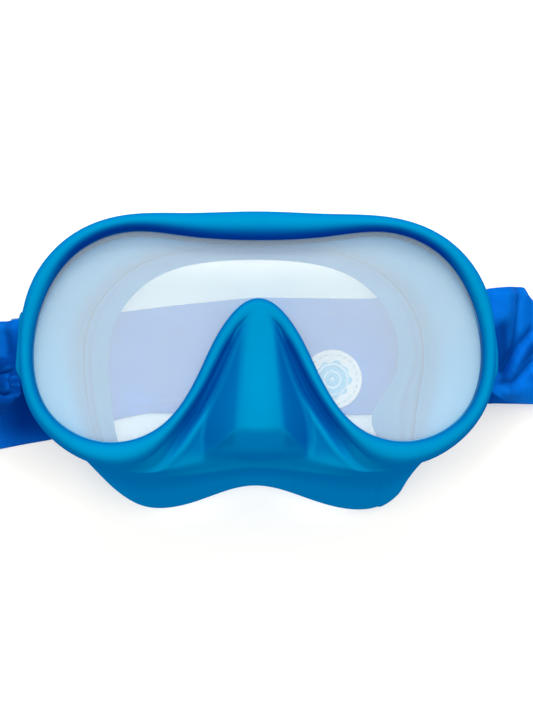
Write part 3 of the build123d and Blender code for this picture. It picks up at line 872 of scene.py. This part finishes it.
camera = place("camera", bpy.data.cameras.new("camera"))
EYE, AIM = Vector((-0.0173, 0.0034, 0.662)), Vector((0.0027, 0.0034, 0.062))
VIEW_HEIGHT, DISTANCE, ROLL, SENSOR = 0.2385, 0.6, math.radians(-0.1), 36
camera.location = EYE
look = (AIM - EYE).normalized()
right = look.cross(Vector((0, 1, 0))).normalized()
up = right.cross(look)
axes = Matrix((right, up, -look)).transposed()
camera.rotation_euler = (axes @ Matrix.Rotation(ROLL, 3, "Z")).to_euler()
camera.data.sensor_fit = "VERTICAL"
camera.data.sensor_height = SENSOR
camera.data.lens = SENSOR * DISTANCE / VIEW_HEIGHT
bpy.context.scene.camera = camera
bpy.context.scene.view_settings.view_transform = "Standard"

world = bpy.data.worlds.new("studio")
bpy.context.scene.world = world
world.use_nodes = True
sky = world.node_tree.nodes["Background"]
sky.inputs["Color"].default_value = (1.0, 0.98, 0.93, 1)
sky.inputs["Strength"].default_value = 0.5


def softbox(name, at, size, power, shadow=True):
    """A rectangular area light that faces the mask."""
    data = bpy.data.lights.new(name, "AREA")
    data.shape = "RECTANGLE"
    data.size, data.size_y = size
    data.energy = power
    data.use_shadow = shadow
    ob = place(name, data)
    ob.location = at
    ob.rotation_euler = (Vector((0, 0, 0.05)) - Vector(at)).to_track_quat("-Z", "Y").to_euler()


softbox("wash", (0.0, 1.05, 1.0), (1.2, 0.5), 6, shadow=False)
softbox("key", (0.0, 0.9, 1.1), (1.0, 0.5), 11)
softbox("top", (0.0, 0.1, 1.4), (0.9, 0.7), 8)

FLOOR = 3.0
floor_mesh = bpy.data.meshes.new("floor")
floor_mesh.from_pydata([(-FLOOR, -FLOOR, 0), (FLOOR, -FLOOR, 0), (FLOOR, FLOOR, 0), (-FLOOR, FLOOR, 0)],
                       [], [(0, 1, 2, 3)])
floor = place("floor", floor_mesh)

# -------- materials

def times(colour, factor):
    """A colour made darker or lighter, up to full strength."""
    return tuple(min(1, c * factor) for c in colour)


class Paint:
    """A Principled material with a few short ways to add procedural nodes."""

    def __init__(self, name, colour, roughness, **sockets):
        self.m = bpy.data.materials.new(name)
        self.m.use_nodes = True
        self.tree = self.m.node_tree
        self.shader = self.tree.nodes["Principled BSDF"]
        self.set(self.shader, Base_Color=(*colour, 1), Roughness=roughness, **sockets)
        self.place = self.node("ShaderNodeTexCoord").outputs["Object"]

    def set(self, node, **values):
        for k, v in values.items():
            node.inputs[k.replace("_", " ")].default_value = v

    def node(self, kind, **values):
        n = self.tree.nodes.new(kind)
        self.set(n, **values)
        return n

    def link(self, a, b):
        self.tree.links.new(a, b)

    def noise(self, scale, detail, stretch=None):
        n = self.node("ShaderNodeTexNoise", Scale=scale, Detail=detail)
        at = self.place
        if stretch:
            m = self.node("ShaderNodeMapping")
            m.inputs["Scale"].default_value = stretch
            self.link(at, m.inputs["Vector"])
            at = m.outputs["Vector"]
        self.link(at, n.inputs["Vector"])
        return n.outputs["Fac"]

    def ramp(self, value, stops):
        n = self.node("ShaderNodeValToRGB")
        e = n.color_ramp.elements
        while len(e) < len(stops):
            e.new(0.5)
        for el, (at, col) in zip(e, stops):
            el.position, el.color = at, (*col, 1)
        self.link(value, n.inputs["Fac"])
        return n.outputs["Color"]

    def tints(self, value, colour, *stops):
        """A ramp through strengths of one colour, from (position, strength) pairs."""
        return self.ramp(value, [(at, times(colour, strength)) for at, strength in stops])

    def scaled(self, value, low, high, to_low=0.0, to_high=1.0):
        n = self.node("ShaderNodeMapRange", From_Min=low, From_Max=high, To_Min=to_low, To_Max=to_high)
        self.link(value, n.inputs["Value"])
        return n.outputs["Result"]

    def mix(self, factor, base, colour):
        """Mixes a plain colour into base, by factor."""
        n = self.node("ShaderNodeMix")
        n.data_type = "RGBA"
        self.link(factor, n.inputs[0])
        self.link(base, n.inputs[6])
        n.inputs[7].default_value = (*colour, 1)
        return n.outputs[2]

    def shaded_edge_on(self, base, edge, low, high):
        """Painted shade: turns base into a darker colour where the surface is seen edge on."""
        facing = self.node("ShaderNodeLayerWeight", Blend=0.5).outputs["Facing"]
        return self.mix(self.scaled(facing, low, high), base, edge)

    def with_painted_shade(self, base, deep, pale):
        """Mixes base towards a painted shade colour or a painted light colour by the piece's painted shade
        attribute.
        """
        painted_shade = self.node("ShaderNodeAttribute")
        painted_shade.attribute_name = "PaintedShade"
        base = self.mix(self.scaled(painted_shade.outputs["Fac"], 0.0, -1.0), base, deep)
        return self.mix(self.scaled(painted_shade.outputs["Fac"], 0.0, 1.0), base, pale)

    def math(self, how, a, b=0.0):
        n = self.node("ShaderNodeMath")
        n.operation = how
        for socket, value in zip(n.inputs, (a, b)):
            if isinstance(value, bpy.types.NodeSocket):
                self.link(value, socket)
            else:
                socket.default_value = value
        return n.outputs[0]

    def add(self, a, b):
        return self.math("ADD", a, b)

    def mul(self, a, b):
        return self.math("MULTIPLY", a, b)

    def bump(self, height, distance, strength=1.0, before=None):
        n = self.node("ShaderNodeBump", Strength=strength, Distance=distance)
        self.link(height, n.inputs["Height"])
        if before:
            self.link(before, n.inputs["Normal"])
        return n.outputs["Normal"]

    def wear(self, base, roughness, normal):
        """Links the finished colour, roughness and normal, and returns the material."""
        for name, value in (("Base Color", base), ("Roughness", roughness), ("Normal", normal)):
            self.link(value, self.shader.inputs[name])
        return self.m


SHINE = (0.0, 0.45, 0.9, 1)
PAINTED_GLOW_STRENGTH = 0.18
# colours of the painted shade and the painted light on the silicone
PAINTED_SHADE_COLOUR, PAINTED_LIGHT_COLOUR = (0.0, 0.035, 0.21), (0.0, 0.3, 0.6)
RING_APART = 0.0026
WALE, COURSE = 0.00075, 0.0006


def silicone_paint(name, colour, edge=None, painted_glow=None, deep=PAINTED_SHADE_COLOUR, rings=None):
    """Matte liquid silicone: faint mottling, a fine moulded grain, painted shade seen edge on, painted
    light and shade by attribute, painted glow.
    """
    p = Paint(name, colour, 0.55, Specular_IOR_Level=0.0, Specular_Tint=SHINE,
              Sheen_Weight=0.03, Sheen_Tint=SHINE)
    # painted light: an emission makes the piece glow with no lamp behind it
    if painted_glow:
        p.set(p.shader, Emission_Color=(*painted_glow, 1), Emission_Strength=PAINTED_GLOW_STRENGTH)
    cloud = p.noise(38, 4)
    base = p.tints(cloud, colour, (0.35, 0.95), (0.65, 1.04))
    if edge:
        base = p.with_painted_shade(p.shaded_edge_on(base, edge, 0.05, 0.65), deep, PAINTED_LIGHT_COLOUR)
    if rings:
        split = p.node("ShaderNodeSeparateXYZ")
        p.link(p.place, split.inputs[0])
        squares = []
        for axis, middle in zip("XY", rings):
            off = p.math("SUBTRACT", split.outputs[axis], middle)
            squares.append(p.mul(off, off))
        far = p.math("SQRT", p.add(*squares))
        turns = p.mul(far, 2 * math.pi / RING_APART)
        wave = p.math("SINE", p.add(turns, p.noise(260, 2)))
        base = p.mix(p.scaled(wave, 0.45, 0.75), base, (0.88, 0.94, 0.95))
    specks = p.scaled(p.noise(900, 2), 0.70, 0.76)
    base = p.mix(p.mul(specks, 0.10), base, times(colour, 1.3))
    rough = p.scaled(p.noise(60, 5), 0.3, 0.7, 0.5, 0.64)
    grain = p.noise(2600, 2)
    soft = p.noise(150, 3)
    n = p.bump(soft, 0.00025, 0.25)
    return p.wear(base, rough, p.bump(grain, 0.00004, 0.35, n))


def fabric_paint(name, colour, edge):
    """Stretch jersey: rows of small knit loops, a soft nap, slight fading, painted shade seen edge on and
    painted light and shade by attribute.
    """
    p = Paint(name, colour, 0.85, Specular_IOR_Level=0.004, Specular_Tint=SHINE,
              Sheen_Weight=0.04, Sheen_Roughness=0.5, Sheen_Tint=(0.0, 0.3, 1.0, 1))
    uv = p.node("ShaderNodeUVMap")
    uv.uv_map = "Length"
    split = p.node("ShaderNodeSeparateXYZ")
    p.link(uv.outputs["UV"], split.inputs[0])
    across, along = split.outputs["X"], split.outputs["Y"]
    column = p.mul(across, 2 * math.pi / WALE)
    ribs = p.math("ABSOLUTE", p.math("SINE", p.mul(column, 0.5)))
    lean = p.mul(p.math("COSINE", column), 0.9)
    loops = p.math("SINE", p.add(p.mul(along, 2 * math.pi / COURSE), lean))
    knit = p.add(p.mul(ribs, 0.7), p.mul(loops, 0.3))
    fuzz = p.noise(1500, 3)
    shade = p.add(p.mul(p.noise(45, 4), 0.6), p.mul(fuzz, 0.4))
    light = tuple(min(1, c * 1.12 + 0.004) for c in colour)
    base = p.ramp(shade, [(0.35, times(colour, 0.82)), (0.62, light)])
    base = p.mix(p.scaled(knit, 0.0, 0.5, 0.14, 0.0), base, times(colour, 0.6))
    # colours of the painted shade and the painted light on the jersey
    deep = (0.0, colour[1] * 0.12, colour[2] * 0.26)
    base = p.with_painted_shade(p.shaded_edge_on(base, edge, 0.3, 0.95), deep, tuple(c * 1.5 for c in colour))
    rough = p.scaled(fuzz, 0.3, 0.7, 0.78, 0.92)
    n = p.bump(knit, 0.00006, 0.3)
    return p.wear(base, rough, p.bump(fuzz, 0.00008, 0.4, n))


def plastic_paint(name, colour):
    """Moulded nylon: satin, with fine flow marks and scuffs."""
    p = Paint(name, colour, 0.4, Specular_IOR_Level=0.4)
    flow = p.noise(120, 4, stretch=(1, 0.2, 1))
    base = p.tints(flow, colour, (0.3, 0.9), (0.7, 1.08))
    scuff = p.scaled(p.noise(700, 4, stretch=(1, 0.1, 1)), 0.62, 0.72)
    rough = p.add(p.scaled(flow, 0.3, 0.7, 0.32, 0.46), p.mul(scuff, 0.2))
    return p.wear(base, rough, p.bump(p.noise(1800, 2), 0.00003, 0.4))


def steel_paint(name):
    """Turned stainless steel: fine rings round the pin and soft smears."""
    p = Paint(name, (0.62, 0.64, 0.66), 0.28, Metallic=1.0)
    turned = p.noise(900, 3, stretch=(0.1, 4.0, 0.1))
    smear = p.noise(150, 3)
    base = p.ramp(smear, [(0.3, (0.52, 0.54, 0.56)), (0.7, (0.72, 0.73, 0.74))])
    return p.wear(base, p.scaled(turned, 0.3, 0.7, 0.2, 0.4), p.bump(turned, 0.00002, 0.5))


def thread_paint(name, colour):
    """Twisted sewing thread."""
    p = Paint(name, colour, 0.7, Specular_IOR_Level=0.2, Sheen_Weight=0.2)
    twist = p.noise(2500, 2, stretch=(3, 1, 3))
    base = p.tints(twist, colour, (0.35, 0.7), (0.65, 1.2))
    return p.wear(base, p.scaled(twist, 0.3, 0.7, 0.6, 0.8), p.bump(twist, 0.00006, 0.6))


def clear_paint(name, colour, clear, roughness, cloudy):
    """Something you see through: alpha that drifts a little, as haze and wiped marks do."""
    p = Paint(name, colour, roughness, Specular_IOR_Level=0.3)
    haze = p.noise(28, 4)
    smear = p.noise(90, 4, stretch=(1, 0.25, 1))
    both = p.add(p.mul(haze, 0.7), p.mul(smear, 0.3))
    p.link(p.scaled(both, 0.3, 0.7, clear - cloudy, clear + cloudy), p.shader.inputs["Alpha"])
    rough = p.scaled(smear, 0.3, 0.7, roughness * 0.8, roughness * 1.2)
    tint = p.tints(haze, colour, (0.3, 0.985), (0.7, 1))
    flat = p.node("ShaderNodeNewGeometry").outputs["True Normal"]
    return p.wear(tint, rough, p.bump(p.noise(400, 3), 0.00002, 0.2, flat))


# painted shade and painted light: the second colour darkens the silicone seen edge on, and it glows blue
# with no lamp
silicone = silicone_paint("silicone", (0.0, 0.205, 0.365), (0.0, 0.15, 0.36), painted_glow=(0.0, 0.0, 0.45))
# painted light: a paler copy of the silicone that glows, for the inside of the moulding
silicone_lit_inside = silicone_paint("silicone_lit_inside", (0.0, 0.5, 0.85), (0.0, 0.5, 0.85), (0.0, 0.45, 0.74),
                                 deep=(0.0, 0.2, 0.5))
# painted shade: the second colour darkens the jersey where it is seen edge on
fabric = fabric_paint("strap_jersey", (0.0, 0.182, 0.76), (0.0, 0.11, 0.53))
ring_plastic = plastic_paint("ring_nylon", (0.01, 0.25, 0.53))
core_plastic = plastic_paint("core_plastic", (0.7, 0.76, 0.8))
steel = steel_paint("pin_steel")
thread = thread_paint("sewing_thread", (0.01, 0.13, 0.5))
badge_thread = thread_paint("badge_thread", (0.42, 0.62, 0.66))
# painted light: the white badge glows warm with no lamp behind it
badge_white = silicone_paint("badge_silicone", (0.95, 0.95, 0.87), painted_glow=(0.9, 0.2, 0.0))
badge_print = silicone_paint("badge_print", (0.26, 0.66, 0.82), rings=(BADGE_X * MM, BADGE_Y * MM))
glass = clear_paint("lens_glass", (0.95, 0.98, 1.0), 0.03, 0.08, 0.008)
fog = clear_paint("anti_fog_film", (0.475, 0.57, 0.565), 0.37, 0.7, 0.012)
grey_band_paint = clear_paint("lens_grey_band_paint", (0.22, 0.27, 0.31), 0.40, 0.6, 0.05)
floor_paint = Paint("floor_paint", (0.95, 0.93, 0.88), 0.7, Specular_IOR_Level=0.1,
                    Emission_Color=(1, 0.97, 0.9, 1), Emission_Strength=0.14)
floor.data.materials.append(floor_paint.m)


def dress(ob, paint, body, slot, *nodes):
    """Gives a new piece its material and its body, and hides the CAD nodes that it stands for; slot is not
    used.
    """
    ob.data.materials.append(paint)
    if body:
        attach(ob, body)
    if nodes:
        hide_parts(*nodes)


dress(skirt, silicone, "mask", "skirt_silicone", "skirt")
# painted light: everything from the lip back up to the lens takes a paler, glowing copy of the silicone
skirt.data.materials.append(silicone_lit_inside)
skirt.data.polygons.foreach_set("material_index", np.repeat(np.arange(len(rows)) >= INNER.start, COLUMNS))
for ob in lugs:
    dress(ob, silicone, "mask", "skirt_silicone")
dress(lens_band, grey_band_paint, "mask", "lens_glass")
dress(film, fog, "mask", "film", "lens_film")
dress(ripples, badge_print, "mask", "badge_print", "badge_inlay")
dress(strap, fabric, "mask", "strap_fabric", "strap")
for which, sign in SIDES.items():
    body = f"buckle_{which}"
    dress(necks[which], fabric, body, "strap_fabric", f"strap_tail_{which}")
    dress(joins[which], thread, "mask", "thread")
    dress(covers[which], fabric, None, "strap_fabric")
    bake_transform(covers[which])

paints = {"core_ring": core_plastic, "lens": glass, "badge": badge_white, "badge_stitches": badge_thread}
for kind, paint in [("hinge_sleeve", core_plastic), ("hinge_pin", steel), ("pin_clip", steel),
                    ("strap_ring", ring_plastic), ("tail_stitches", thread)]:
    for which in SIDES:
        paints[f"{kind}_{which}"] = paint
for node, paint in paints.items():
    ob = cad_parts[node]
    for slot in ob.material_slots:
        slot.material = paint
    if not ob.material_slots:
        ob.data.materials.append(paint)
for ob in (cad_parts["lens"], film):
    ob.visible_shadow = False
